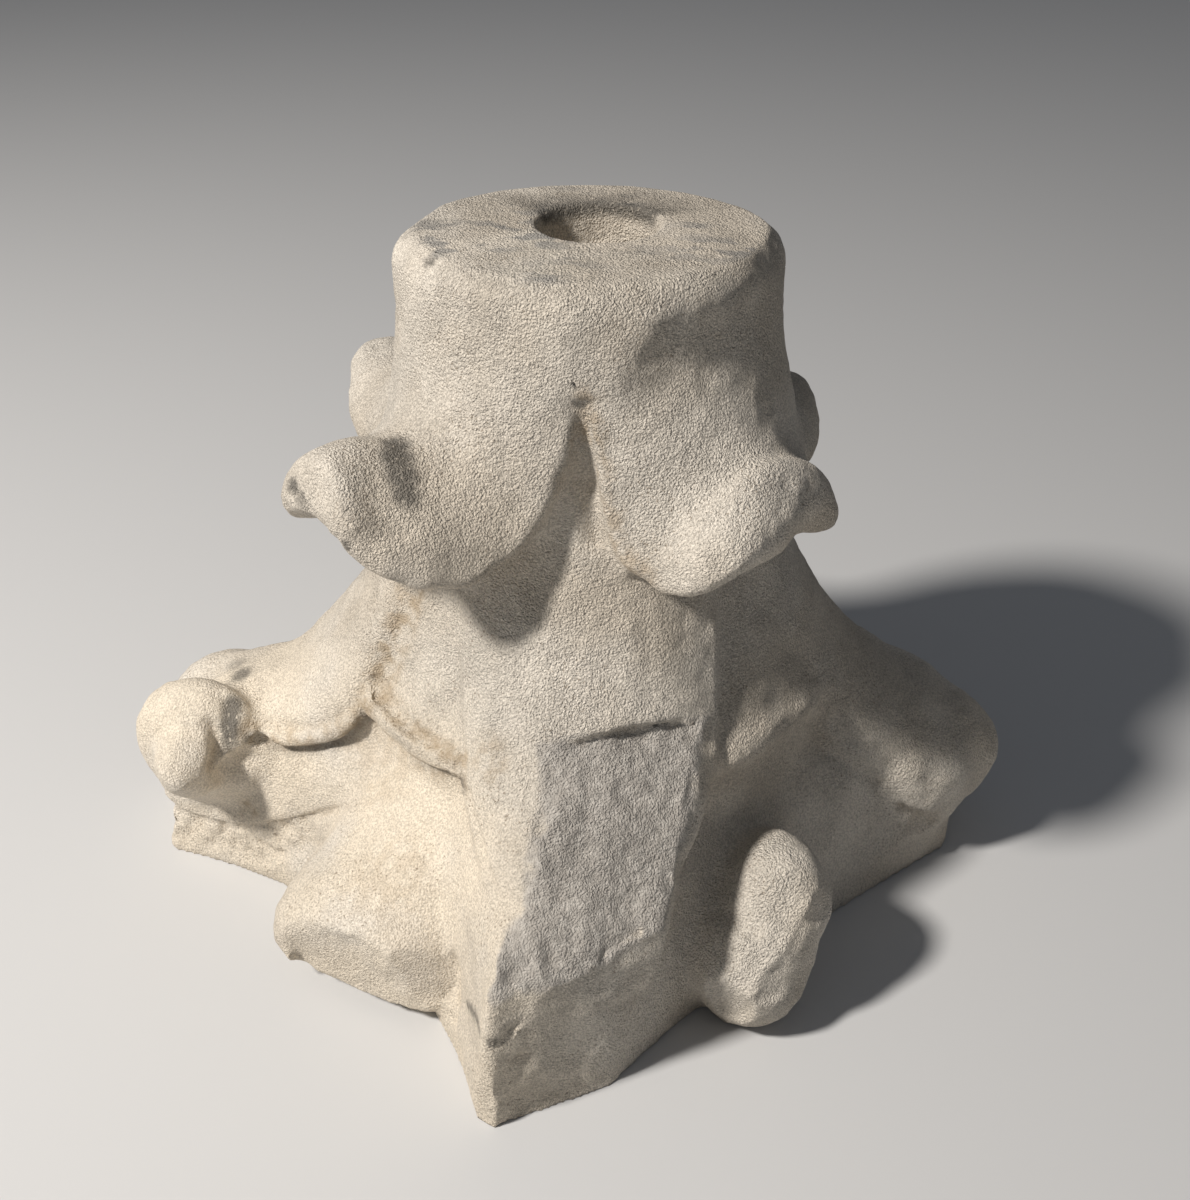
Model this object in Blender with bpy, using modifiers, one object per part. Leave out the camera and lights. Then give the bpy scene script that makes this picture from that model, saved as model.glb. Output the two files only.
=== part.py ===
"""A carved marble capital that stands upside down, as one stone.

The abacus lies on the ground and the neck bed, with its round socket, faces up. Units are metres,
+Z is up, and the origin is on the axis at the underside of the abacus. Bearings are in degrees,
anticlockwise from +X as seen from above, so the broken front corner points to about -Y.
"""

import math
from collections import namedtuple

import bmesh
import bpy
import numpy as np
from mathutils import Matrix, Vector, noise

# Driving dimensions of the block
HEIGHT = 0.305
NECK_RADIUS = 0.078
NECK_ROUNDING = 0.010
NECK_BACK_SETBACK = 0.020
NECK_LEAN = 0.003
NECK_HOLLOW_DEPTH = 0.006
BELL_WAIST_RADIUS = 0.067
LIP_RADIUS = 0.110
LIP_HEIGHT = 0.112
LIP_THICKNESS = 0.014
ABACUS_HEIGHT = 0.078
BAND_HEIGHT = 0.022
BAND_STEP = 0.004
ABACUS_HOLLOW = 0.024
CORNER_REACH = 0.205
HORN_HALF_WIDTH = 0.026
SIDE_DISTANCE = 0.126

# Driving dimensions of the dowel socket in the neck bed
SOCKET_RADIUS = 0.025
SOCKET_FLOOR_RADIUS = 0.021
SOCKET_DEPTH = 0.045

# Driving dimensions of the carving that stands out from the block
LEAF_OVERHANG = 0.065
VOLUTE_RADIUS = 0.033
VOLUTE_THICKNESS = 0.036
EYE_RADIUS = 0.017
BOSS_RADIUS = 0.028
TONGUE_PROUD = 0.033
LUMP_WEAR = 0.003
LUMP_WAVE = 0.022
BREAK_ROUGHNESS = 0.0015
BREAK_WAVE = 0.018
BREAK_WIDTH = 0.13
END_FACE_WIDTH = 0.10
TONGUE_FACE_WIDTH = 0.075

# Working sizes of the surface
VOXEL = 0.003
SMOOTHING_STEPS = 5
TRIANGLES = 9000
RING_POINTS = 72
LEAF_RINGS = 28
LEAF_POINTS = 28
BREAK_CELLS = 40
CLEAR_OF_STONE = 0.02

MARBLE_COLOUR = (0.74, 0.68, 0.58, 1.0)
MARBLE_ROUGHNESS = 0.85

# Shares that give the carving its shape: how far the horns' tips draw back as the sides hollow, and
# how square the sections of a leaf are at their edges and on their faces
HORN_PULL = 1.44
LEAF_EDGE_SHAPE = 0.8
LEAF_FACE_SHAPE = 0.7

# The worn hollow on the neck: its bearing and half its spread round the neck, in degrees, and its
# height and half its spread up the neck, as shares of the block's height
NECK_HOLLOW_BEARING = 318.0
NECK_HOLLOW_TURN = 17.0
NECK_HOLLOW_HEIGHT = 0.885
NECK_HOLLOW_RISE = 0.055

# One corner of the abacus: where it points, how far it reaches, half its width and its skew
Horn = namedtuple("Horn", "bearing reach half_width skew")
RIGHT_HORN = Horn(4.0, CORNER_REACH * 0.839, HORN_HALF_WIDTH, 0.0)
BACK_HORN = Horn(90.0, CORNER_REACH * 0.951, HORN_HALF_WIDTH * 1.04, 0.0)
LEFT_HORN = Horn(179.0, CORNER_REACH, HORN_HALF_WIDTH * 0.96, 0.0)
FRONT_HORN = Horn(264.4, CORNER_REACH * 0.8615, HORN_HALF_WIDTH * 1.096, 31.0)
HORNS = (RIGHT_HORN, BACK_HORN, LEFT_HORN, FRONT_HORN)

# One hollow side of the abacus: where its middle faces, how far that is from the axis, and how
# much of the step above the band it has
Side = namedtuple("Side", "bearing distance step")
BACK_RIGHT_SIDE = Side(46.0, SIDE_DISTANCE * 0.984, 1.0)
BACK_LEFT_SIDE = Side(134.0, SIDE_DISTANCE, 1.0)
FRONT_LEFT_SIDE = Side(220.0, SIDE_DISTANCE * 1.024, 1.0)
FRONT_RIGHT_SIDE = Side(306.6, SIDE_DISTANCE * 0.956, 0.3)
SIDES = (BACK_RIGHT_SIDE, BACK_LEFT_SIDE, FRONT_LEFT_SIDE, FRONT_RIGHT_SIDE)

# One cross-section of a leaf. Its middle is out by a share of the way from the face of the neck
# (0) to the tip (1) and up by a share of the height. Half its width, its thickness and how far
# its edges droop behind its middle are shares of the neck's radius.
Station = namedtuple("Station", "out up half_width thickness droop")

FRONT_LEFT_LEAF = (
    Station(-0.51, 0.964, 0.590, 0.333, 0.230),
    Station(-0.25, 0.885, 0.700, 0.385, 0.160),
    Station(-0.12, 0.816, 0.680, 0.372, 0.160),
    Station(0.08, 0.761, 0.640, 0.372, 0.270),
    Station(0.39, 0.741, 0.603, 0.397, 0.308),
    Station(0.73, 0.751, 0.474, 0.423, 0.256),
    Station(1.00, 0.770, 0.256, 0.295, 0.103),
)
FRONT_RIGHT_LEAF = (
    Station(-0.90, 0.964, 0.560, 0.333, 0.230),
    Station(-0.56, 0.885, 0.650, 0.385, 0.160),
    Station(-0.26, 0.816, 0.660, 0.372, 0.180),
    Station(0.06, 0.752, 0.640, 0.400, 0.260),
    Station(0.38, 0.718, 0.600, 0.440, 0.280),
    Station(0.71, 0.724, 0.500, 0.460, 0.190),
    Station(0.92, 0.745, 0.300, 0.360, 0.070),
    Station(1.00, 0.752, 0.150, 0.220, 0.020),
)
BACK_LEFT_LEAF = (
    Station(-0.46, 0.964, 0.590, 0.333, 0.230),
    Station(-0.22, 0.885, 0.700, 0.385, 0.160),
    Station(-0.12, 0.807, 0.680, 0.359, 0.190),
    Station(0.08, 0.725, 0.620, 0.346, 0.270),
    Station(0.40, 0.682, 0.551, 0.346, 0.256),
    Station(0.74, 0.672, 0.410, 0.385, 0.167),
    Station(0.98, 0.675, 0.240, 0.333, 0.064),
    Station(1.12, 0.672, 0.110, 0.180, 0.020),
)
BACK_RIGHT_LEAF = (
    Station(-0.60, 0.964, 0.560, 0.333, 0.230),
    Station(-0.29, 0.885, 0.620, 0.385, 0.160),
    Station(-0.16, 0.807, 0.620, 0.359, 0.190),
    Station(0.06, 0.718, 0.620, 0.346, 0.270),
    Station(0.40, 0.662, 0.538, 0.346, 0.256),
    Station(0.74, 0.643, 0.410, 0.385, 0.167),
    Station(0.98, 0.634, 0.240, 0.333, 0.064),
    Station(1.12, 0.630, 0.110, 0.180, 0.020),
)
CORNER_LEAF = (
    Station(-0.37, 0.918, 0.385, 0.385, 0.103),
    Station(-0.28, 0.803, 0.513, 0.385, 0.154),
    Station(-0.17, 0.689, 0.590, 0.385, 0.179),
    Station(-0.04, 0.574, 0.654, 0.385, 0.179),
    Station(0.12, 0.452, 0.673, 0.385, 0.167),
    Station(0.33, 0.357, 0.641, 0.397, 0.154),
    Station(0.57, 0.280, 0.510, 0.370, 0.110),
    Station(0.82, 0.238, 0.330, 0.320, 0.060),
    Station(1.00, 0.208, 0.230, 0.260, 0.040),
)
RIGHT_CORNER_LEAF = (
    Station(-0.45, 0.918, 0.385, 0.385, 0.103),
    Station(-0.34, 0.803, 0.513, 0.385, 0.154),
    Station(-0.24, 0.689, 0.590, 0.385, 0.179),
    Station(-0.12, 0.574, 0.641, 0.385, 0.179),
    Station(0.06, 0.452, 0.654, 0.385, 0.167),
    Station(0.33, 0.334, 0.628, 0.397, 0.154),
    Station(0.60, 0.268, 0.550, 0.410, 0.120),
    Station(0.84, 0.234, 0.450, 0.400, 0.090),
    Station(1.00, 0.200, 0.340, 0.330, 0.060),
)
FRONT_CORNER_LEAF = (
    Station(-0.36, 0.918, 0.385, 0.385, 0.103),
    Station(-0.27, 0.803, 0.513, 0.385, 0.154),
    Station(-0.17, 0.689, 0.590, 0.385, 0.179),
    Station(-0.05, 0.574, 0.654, 0.385, 0.179),
    Station(0.15, 0.452, 0.673, 0.385, 0.167),
    Station(0.39, 0.361, 0.641, 0.397, 0.154),
    Station(0.65, 0.295, 0.513, 0.423, 0.115),
    Station(0.87, 0.230, 0.436, 0.436, 0.077),
    Station(1.00, 0.164, 0.385, 0.436, 0.051),
)
BROKEN_TONGUE = (
    Station(0.02, 0.256, 0.520, 0.641, 0.051),
    Station(0.30, 0.180, 0.600, 0.641, 0.077),
    Station(0.55, 0.125, 0.620, 0.641, 0.100),
    Station(0.79, 0.102, 0.600, 0.560, 0.100),
    Station(1.00, 0.086, 0.530, 0.450, 0.090),
    Station(1.11, 0.080, 0.400, 0.310, 0.060),
)

# One leaf: where it points, how far its tip's middle stands out from the face of the neck, and
# its stations
Leaf = namedtuple("Leaf", "name bearing overhang stations")
LEAVES = (
    Leaf("leaf_front_left", 221.0, LEAF_OVERHANG * 0.908, FRONT_LEFT_LEAF),
    Leaf("leaf_front_right", 310.5, LEAF_OVERHANG * 0.470, FRONT_RIGHT_LEAF),
    Leaf("leaf_back_left", 138.0, LEAF_OVERHANG, BACK_LEFT_LEAF),
    Leaf("leaf_back_right", 44.0, LEAF_OVERHANG * 0.769, BACK_RIGHT_LEAF),
    Leaf("corner_left", 181.0, LEFT_HORN.reach * 0.888 - NECK_RADIUS, CORNER_LEAF),
    Leaf("corner_back", 90.0, BACK_HORN.reach * 0.933 - NECK_RADIUS, CORNER_LEAF),
    Leaf("corner_right", 3.0, RIGHT_HORN.reach * 0.977 - NECK_RADIUS, RIGHT_CORNER_LEAF),
    Leaf("corner_front", 268.0, FRONT_HORN.reach * 0.938 - NECK_RADIUS, FRONT_CORNER_LEAF),
    Leaf("tongue", 227.5, FRONT_LEFT_SIDE.distance - NECK_RADIUS + TONGUE_PROUD, BROKEN_TONGUE),
)

# One volute: its horn, how far round from the horn it sits and faces, its reach as a share of the
# horn's, its height as a share of the abacus, and whether its eye is still there
Volute = namedtuple("Volute", "horn turn facing reach rise eye")
VOLUTES = (
    Volute(LEFT_HORN, 8.7, 82.0, 0.883, 0.87, True),
    Volute(LEFT_HORN, -6.0, -69.0, 0.868, 0.69, True),
    Volute(RIGHT_HORN, -11.0, -74.0, 0.880, 0.58, False),
    Volute(RIGHT_HORN, 5.0, 66.0, 0.935, 0.54, True),
    Volute(BACK_HORN, -7.0, -70.0, 0.882, 0.79, True),
    Volute(BACK_HORN, 7.0, 70.0, 0.882, 0.79, True),
)

# One worn lump: its bearing, the reach of what carries it, how far its middle stands out past that
# as a share of a boss's radius, its height as a share of the abacus, and its radii (outward,
# across and up) as shares of a boss's radius
Lump = namedtuple("Lump", "name bearing carrier proud rise radii")
LUMPS = (
    Lump("boss_right_top", 306.0, FRONT_RIGHT_SIDE.distance, 0.36, 0.64, (0.96, 0.84, 1.00)),
    Lump("boss_right_middle", 301.5, FRONT_RIGHT_SIDE.distance, 0.50, 0.50, (0.96, 0.92, 0.95)),
    Lump("boss_right_foot", 298.5, FRONT_RIGHT_SIDE.distance, 0.57, 0.33, (0.95, 0.88, 1.00)),
    Lump("boss_back_left", 134.0, BACK_LEFT_SIDE.distance, 0.43, 0.49, (0.96, 0.96, 1.29)),
    Lump("boss_back_right", 46.0, BACK_RIGHT_SIDE.distance, 0.43, 0.49, (0.96, 0.96, 1.29)),
    Lump("volute_root_right", 2.0, RIGHT_HORN.reach, -0.57, 0.60, (1.36, 1.14, 1.25)),
    Lump("volute_root_left", 181.0, LEFT_HORN.reach, -0.89, 0.62, (0.95, 1.00, 1.25)),
)

# One broken face: the point that it passes through, as a bearing, a reach and a height, then the
# bearing that it faces, how far it faces upward and its width
Break = namedtuple("Break", "name bearing reach height facing rise width")
BREAKS = (
    Break("front_break", 273.2, FRONT_HORN.reach * 0.597, HEIGHT * 0.441, 286.0, 42.4, BREAK_WIDTH),
    Break("front_end", FRONT_HORN.bearing, FRONT_HORN.reach * 0.994, END_FACE_WIDTH,
          FRONT_HORN.bearing + FRONT_HORN.skew, 0.0, END_FACE_WIDTH),
    Break("tongue_break", 233.0, FRONT_LEFT_SIDE.distance + TONGUE_PROUD * 0.94,
          ABACUS_HEIGHT * 0.77, 243.0, -6.0, TONGUE_FACE_WIDTH),
)


def polar(bearing, reach, height):
    """Return the point at a bearing, a reach from the axis and a height."""
    angle = math.radians(bearing)
    return Vector((reach * math.cos(angle), reach * math.sin(angle), height))


def clear_scene():
    """Remove the objects that the file opened with."""
    for old in list(bpy.data.objects):
        bpy.data.objects.remove(old, do_unlink=True)


def object_from(name, work, collection):
    """Turn a bmesh into a linked object that faces outward."""
    bmesh.ops.recalc_face_normals(work, faces=work.faces)
    mesh = bpy.data.meshes.new(name)
    work.to_mesh(mesh)
    work.free()
    piece = bpy.data.objects.new(name, mesh)
    collection.objects.link(piece)
    return piece


def cutter_from(name, work, collection):
    """Turn a bmesh into a cutter, which is drawn as wires and isn't part of the stone."""
    cutter = object_from(name, work, collection)
    cutter.hide_render = True
    cutter.display_type = "WIRE"
    return cutter


def loft(name, rings, collection):
    """Join closed rings of points into one capped solid."""
    work = bmesh.new()
    rows = [[work.verts.new(point) for point in ring] for ring in rings]
    count = len(rows[0])
    for low, high in zip(rows, rows[1:]):
        for i in range(count):
            j = (i + 1) % count
            work.faces.new((low[i], low[j], high[j], high[i]))
    work.faces.new(rows[0][::-1])
    work.faces.new(rows[-1])
    return object_from(name, work, collection)


def spline(rows, count):
    """Return count rows along a smooth curve through the given rows of numbers."""
    rows = np.array(rows, dtype=float)
    padded = np.vstack([2 * rows[0] - rows[1], rows, 2 * rows[-1] - rows[-2]])
    result = []
    for place in np.linspace(0, len(rows) - 1, count):
        i = min(int(place), len(rows) - 2)
        t = place - i
        a, b, c, d = padded[i:i + 4]
        bend = (2 * a - 5 * b + 4 * c - d) * t ** 2 + (3 * b - a - 3 * c + d) * t ** 3
        result.append(0.5 * (2 * b + (c - a) * t + bend))
    return result


def neck_hollow(bearing, height):
    """Return how deep the worn hollow on the right front of the neck is at a place."""
    turn = (bearing - NECK_HOLLOW_BEARING) / NECK_HOLLOW_TURN
    rise = (height / HEIGHT - NECK_HOLLOW_HEIGHT) / NECK_HOLLOW_RISE
    return NECK_HOLLOW_DEPTH * math.exp(-turn * turn - rise * rise)


def bell(collection):
    """Loft the neck and the bell, from the rounded neck bed down to the lip above the abacus."""
    flat = NECK_RADIUS - NECK_ROUNDING
    lip_face = LIP_RADIUS - LIP_THICKNESS * 0.3
    profile = (
        (HEIGHT + NECK_ROUNDING, flat * 0.97, 1.0),
        (HEIGHT, flat, 1.0),
        (HEIGHT - NECK_ROUNDING * 0.3, flat + NECK_ROUNDING * 0.7, 0.8),
        (HEIGHT - NECK_ROUNDING, NECK_RADIUS, 0.5),
        (HEIGHT * 0.92, NECK_RADIUS, 0.2),
        (HEIGHT * 0.88, NECK_RADIUS, 0.0),
        (HEIGHT * 0.86, NECK_RADIUS * 0.99, 0.0),
        (HEIGHT * 0.84, NECK_RADIUS * 0.95, 0.0),
        (HEIGHT * 0.82, NECK_RADIUS * 0.89, 0.0),
        (HEIGHT * 0.79, BELL_WAIST_RADIUS, 0.0),
        (HEIGHT * 0.73, BELL_WAIST_RADIUS, 0.0),
        (HEIGHT * 0.64, BELL_WAIST_RADIUS * 1.08, 0.0),
        (HEIGHT * 0.54, BELL_WAIST_RADIUS * 1.22, 0.0),
        (HEIGHT * 0.44, BELL_WAIST_RADIUS * 1.42, 0.0),
        (LIP_HEIGHT + LIP_THICKNESS * 0.6, LIP_RADIUS - LIP_THICKNESS * 0.5, 0.0),
        (LIP_HEIGHT + LIP_THICKNESS * 0.3, LIP_RADIUS - LIP_THICKNESS * 0.1, 0.0),
        (LIP_HEIGHT, LIP_RADIUS, 0.0),
        (LIP_HEIGHT - LIP_THICKNESS * 0.3, LIP_RADIUS - LIP_THICKNESS * 0.05, 0.0),
        (LIP_HEIGHT - LIP_THICKNESS * 0.5, lip_face, 0.0),
        (ABACUS_HEIGHT * 0.5, lip_face, 0.0),
    )
    rings = []
    for height, radius, setback in profile:
        ring = []
        for i in range(RING_POINTS):
            bearing = 360.0 * i / RING_POINTS
            behind = max(0.0, math.sin(math.radians(bearing)))
            reach = radius - NECK_BACK_SETBACK * setback * behind - neck_hollow(bearing, height)
            ring.append(polar(bearing, reach, height) - Vector((NECK_LEAN * height / HEIGHT, 0, 0)))
        rings.append(ring)
    return loft("bell", rings, collection)


def horn_ends(horn):
    """Return the two ends of a horn's end face, anticlockwise, as flat points."""
    middle = polar(horn.bearing, horn.reach, 0.0)
    half = polar(horn.bearing + 90.0 + horn.skew, horn.half_width, 0.0)
    return middle - half, middle + half


def arc_through(start, middle, end, count):
    """Return count points from start towards end on the smooth bow through all three."""
    control = 2 * middle - (start + end) / 2
    points = []
    for i in range(count):
        t = i / count
        points.append(start * (1 - t) ** 2 + control * 2 * t * (1 - t) + end * t ** 2)
    return points


def abacus_outline(step, hollow, narrow):
    """Return the plan of the abacus with its sides stepped in and hollowed and its horns narrowed."""
    outline = []
    pull = HORN_PULL * hollow * hollow / ABACUS_HOLLOW
    horns = [Horn(h.bearing, h.reach - pull, h.half_width * narrow, h.skew) for h in HORNS]
    for i, side in enumerate(SIDES):
        start = horn_ends(horns[i])[1]
        end = horn_ends(horns[(i + 1) % len(horns)])[0]
        middle = polar(side.bearing, side.distance - step * side.step - hollow, 0.0)
        outline.extend(arc_through(start, middle, end, RING_POINTS // 4))
        outline.append(end)
    return outline


def abacus(collection):
    """Loft the four-horned abacus: its band below, then the hollow face that runs up to the bell."""
    profile = (
        (-BAND_HEIGHT * 0.5, 0.0, 0.0, 1.0),
        (BAND_HEIGHT * 0.85, 0.0, 0.0, 1.0),
        (BAND_HEIGHT, 0.3, 0.0, 0.97),
        (BAND_HEIGHT * 1.1, 1.0, 0.0, 0.92),
        (ABACUS_HEIGHT * 0.60, 1.0, 0.16, 0.90),
        (ABACUS_HEIGHT * 0.85, 1.0, 0.36, 0.86),
        (ABACUS_HEIGHT, 1.0, 0.62, 0.80),
        (ABACUS_HEIGHT * 1.15, 1.0, 1.0, 0.65),
        (ABACUS_HEIGHT * 1.30, 1.0, 1.4, 0.45),
    )
    rings = []
    for height, step, hollow, narrow in profile:
        plan = abacus_outline(step * BAND_STEP, hollow * ABACUS_HOLLOW, narrow)
        rings.append([point + Vector((0, 0, height)) for point in plan])
    return loft("abacus", rings, collection)


def leaf(shape, collection):
    """Loft a leaf along its middle line, with its sections square to that line."""
    outward = polar(shape.bearing, 1.0, 0.0)
    across = polar(shape.bearing + 90.0, 1.0, 0.0)
    rows = []
    for out, up, half_width, thickness, droop in spline(shape.stations, LEAF_RINGS):
        middle = Vector((NECK_RADIUS + out * shape.overhang, up * HEIGHT))
        rows.append((middle, half_width * NECK_RADIUS, thickness * NECK_RADIUS, droop * NECK_RADIUS))
    rings = []
    for i, (middle, half_width, thickness, droop) in enumerate(rows):
        run = (rows[min(i + 1, LEAF_RINGS - 1)][0] - rows[max(i - 1, 0)][0]).normalized()
        ring = []
        for k in range(LEAF_POINTS):
            turn = 2 * math.pi * k / LEAF_POINTS
            side = math.copysign(abs(math.cos(turn)) ** LEAF_EDGE_SHAPE, math.cos(turn))
            bulge = math.copysign(abs(math.sin(turn)) ** LEAF_FACE_SHAPE, math.sin(turn))
            lift = bulge * thickness / 2 - droop * side * side
            ring.append(outward * (middle.x - run.y * lift) + across * (half_width * side)
                        + Vector((0, 0, middle.y + run.x * lift)))
        rings.append(ring)
    return loft(shape.name, rings, collection)


def volute(shape, collection):
    """Make one volute as a thick disc, with its eye standing out on the side it faces."""
    horn = shape.horn
    centre = polar(horn.bearing + shape.turn, horn.reach * shape.reach, ABACUS_HEIGHT * shape.rise)
    turn = Matrix.Rotation(math.radians(horn.bearing + shape.facing), 4, "Z")
    place = Matrix.Translation(centre) @ turn
    disc = place @ Matrix.Diagonal((VOLUTE_THICKNESS / 2, VOLUTE_RADIUS, VOLUTE_RADIUS, 1))
    work = bmesh.new()
    bmesh.ops.create_uvsphere(work, u_segments=32, v_segments=20, radius=1.0, matrix=disc)
    pieces = [object_from("volute", work, collection)]
    if shape.eye:
        out = Matrix.Translation((VOLUTE_THICKNESS * 0.45, 0, 0))
        work = bmesh.new()
        bmesh.ops.create_uvsphere(work, u_segments=24, v_segments=16, radius=EYE_RADIUS,
                                  matrix=place @ out)
        pieces.append(object_from("volute_eye", work, collection))
    return pieces


def lump(shape, collection):
    """Make a worn, slightly bumpy ball."""
    reach = shape.carrier + shape.proud * BOSS_RADIUS
    centre = polar(shape.bearing, reach, ABACUS_HEIGHT * shape.rise)
    turn = Matrix.Rotation(math.radians(shape.bearing), 4, "Z")
    radii = Vector(shape.radii) * BOSS_RADIUS
    work = bmesh.new()
    bmesh.ops.create_uvsphere(work, u_segments=36, v_segments=24, radius=1.0,
                              matrix=Matrix.Translation(centre) @ turn @ Matrix.Diagonal((*radii, 1)))
    for vert in work.verts:
        away = (vert.co - centre).normalized()
        vert.co += away * noise.noise(vert.co / LUMP_WAVE) * LUMP_WEAR
    return object_from(shape.name, work, collection)


def break_cutter(shape, collection):
    """Make a block whose rough inner face is a broken surface that runs down from a point."""
    rise = math.radians(shape.rise)
    width = shape.width
    point = polar(shape.bearing, shape.reach, shape.height)
    out = polar(shape.facing, math.cos(rise), math.sin(rise))
    across = polar(shape.facing + 90.0, 1.0, 0.0)
    up = out.cross(across)
    lay = Matrix((across, up, out)).transposed().to_4x4() @ Matrix.Diagonal((width, width, 1, 1))
    work = bmesh.new()
    bmesh.ops.create_grid(work, x_segments=BREAK_CELLS, y_segments=BREAK_CELLS, size=0.5,
                          matrix=Matrix.Translation(point - up * width / 2) @ lay)
    edges = [edge for edge in work.edges if edge.is_boundary]
    for vert in work.verts:
        vert.co += out * noise.fractal(vert.co / BREAK_WAVE, 1.0, 2.0, 3) * BREAK_ROUGHNESS
    rim = bmesh.ops.extrude_edge_only(work, edges=edges)["geom"]
    for vert in [item for item in rim if isinstance(item, bmesh.types.BMVert)]:
        vert.co += out * width / 2
    bmesh.ops.holes_fill(work, edges=work.edges)
    return cutter_from(shape.name, work, collection)


def slab_cutter(name, low, high, collection):
    """Make a wide flat block between two heights."""
    wide = 4 * max(horn.reach for horn in HORNS)
    lay = Matrix.Translation((0, 0, (low + high) / 2)) @ Matrix.Diagonal((wide, wide, high - low, 1))
    work = bmesh.new()
    bmesh.ops.create_cube(work, size=1.0, matrix=lay)
    return cutter_from(name, work, collection)


def socket_cutter(collection):
    """Make the round, slightly tapered plug that the dowel socket is cut with."""
    slope = (SOCKET_RADIUS - SOCKET_FLOOR_RADIUS) / SOCKET_DEPTH
    mouth = SOCKET_RADIUS + slope * CLEAR_OF_STONE
    middle = HEIGHT + (CLEAR_OF_STONE - SOCKET_DEPTH) / 2
    work = bmesh.new()
    bmesh.ops.create_cone(work, cap_ends=True, segments=48, radius1=SOCKET_FLOOR_RADIUS,
                          radius2=mouth, depth=SOCKET_DEPTH + CLEAR_OF_STONE,
                          matrix=Matrix.Translation((0, 0, middle)))
    return cutter_from("socket", work, collection)


def fuse(pieces, name, collection):
    """Gather overlapping solids into one mesh."""
    work = bmesh.new()
    for piece in pieces:
        work.from_mesh(piece.data)
        bpy.data.objects.remove(piece, do_unlink=True)
    return object_from(name, work, collection)


def cut(stone, cutter):
    """Cut a solid out of the stone."""
    modifier = stone.modifiers.new(cutter.name, "BOOLEAN")
    modifier.operation = "DIFFERENCE"
    modifier.solver = "EXACT"
    modifier.object = cutter


def skin(stone):
    """Give the gathered solids one closed skin with softly worn edges."""
    remesh = stone.modifiers.new("skin", "REMESH")
    remesh.mode = "VOXEL"
    remesh.voxel_size = VOXEL
    remesh.use_smooth_shade = True
    wear = stone.modifiers.new("wear", "SMOOTH")
    wear.factor = 0.5
    wear.iterations = SMOOTHING_STEPS


def thin_out(stone):
    """Bring the stone down to its number of triangles."""
    bpy.context.view_layer.update()
    shown = stone.evaluated_get(bpy.context.evaluated_depsgraph_get())
    mesh = shown.to_mesh()
    mesh.calc_loop_triangles()
    count = len(mesh.loop_triangles)
    shown.to_mesh_clear()
    decimate = stone.modifiers.new("facets", "DECIMATE")
    decimate.ratio = min(1.0, TRIANGLES / count)


def marble():
    """Return the stone's own material."""
    material = bpy.data.materials.new("marble")
    material.use_nodes = True
    surface = material.node_tree.nodes["Principled BSDF"]
    surface.inputs["Base Color"].default_value = MARBLE_COLOUR
    surface.inputs["Roughness"].default_value = MARBLE_ROUGHNESS
    surface.inputs["Metallic"].default_value = 0.0
    return material


def main():
    """Build the capital."""
    clear_scene()
    parts = bpy.data.collections.new("carved_capital")
    cutters = bpy.data.collections.new("cutters")
    bpy.context.scene.collection.children.link(parts)
    bpy.context.scene.collection.children.link(cutters)

    pieces = [bell(parts), abacus(parts)]
    pieces += [leaf(shape, parts) for shape in LEAVES]
    pieces += [lump(shape, parts) for shape in LUMPS]
    for shape in VOLUTES:
        pieces += volute(shape, parts)
    stone = fuse(pieces, "capital", parts)
    stone.data.materials.append(marble())
    skin(stone)

    for shape in BREAKS:
        cut(stone, break_cutter(shape, cutters))
    thin_out(stone)

    cut(stone, slab_cutter("ground", -HEIGHT, 0.0, cutters))
    cut(stone, slab_cutter("neck_bed", HEIGHT, HEIGHT * 2, cutters))
    cut(stone, socket_cutter(cutters))


main()
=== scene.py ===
"""A carved marble capital that stands upside down on its abacus, worn and broken.

Metres, +Z up. The origin is on the axis at the underside of the abacus. Bearings are in degrees,
anticlockwise from +X as seen from above, so the broken front corner points to about -Y. A place on
the stone is given as its bearing, its reach from the axis and its height.
"""
import math

import bpy
import numpy as np
from mathutils import Euler, Matrix, Vector


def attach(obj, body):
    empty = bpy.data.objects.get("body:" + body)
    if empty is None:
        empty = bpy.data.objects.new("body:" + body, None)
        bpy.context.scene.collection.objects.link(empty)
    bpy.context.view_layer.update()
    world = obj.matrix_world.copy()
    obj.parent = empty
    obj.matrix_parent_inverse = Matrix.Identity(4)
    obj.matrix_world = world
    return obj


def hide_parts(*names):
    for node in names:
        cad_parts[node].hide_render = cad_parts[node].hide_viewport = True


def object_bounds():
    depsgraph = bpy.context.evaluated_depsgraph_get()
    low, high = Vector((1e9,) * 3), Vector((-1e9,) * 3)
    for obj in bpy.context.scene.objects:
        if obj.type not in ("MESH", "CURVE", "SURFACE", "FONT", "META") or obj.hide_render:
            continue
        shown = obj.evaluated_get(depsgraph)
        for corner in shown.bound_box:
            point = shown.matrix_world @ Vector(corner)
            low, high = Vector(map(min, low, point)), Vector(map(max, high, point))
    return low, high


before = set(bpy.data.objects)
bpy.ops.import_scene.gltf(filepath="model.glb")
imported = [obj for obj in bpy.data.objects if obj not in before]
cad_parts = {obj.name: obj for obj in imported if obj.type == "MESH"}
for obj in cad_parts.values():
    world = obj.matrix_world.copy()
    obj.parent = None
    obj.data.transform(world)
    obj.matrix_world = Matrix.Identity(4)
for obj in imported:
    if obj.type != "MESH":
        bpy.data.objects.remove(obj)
cad_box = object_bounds()

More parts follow.
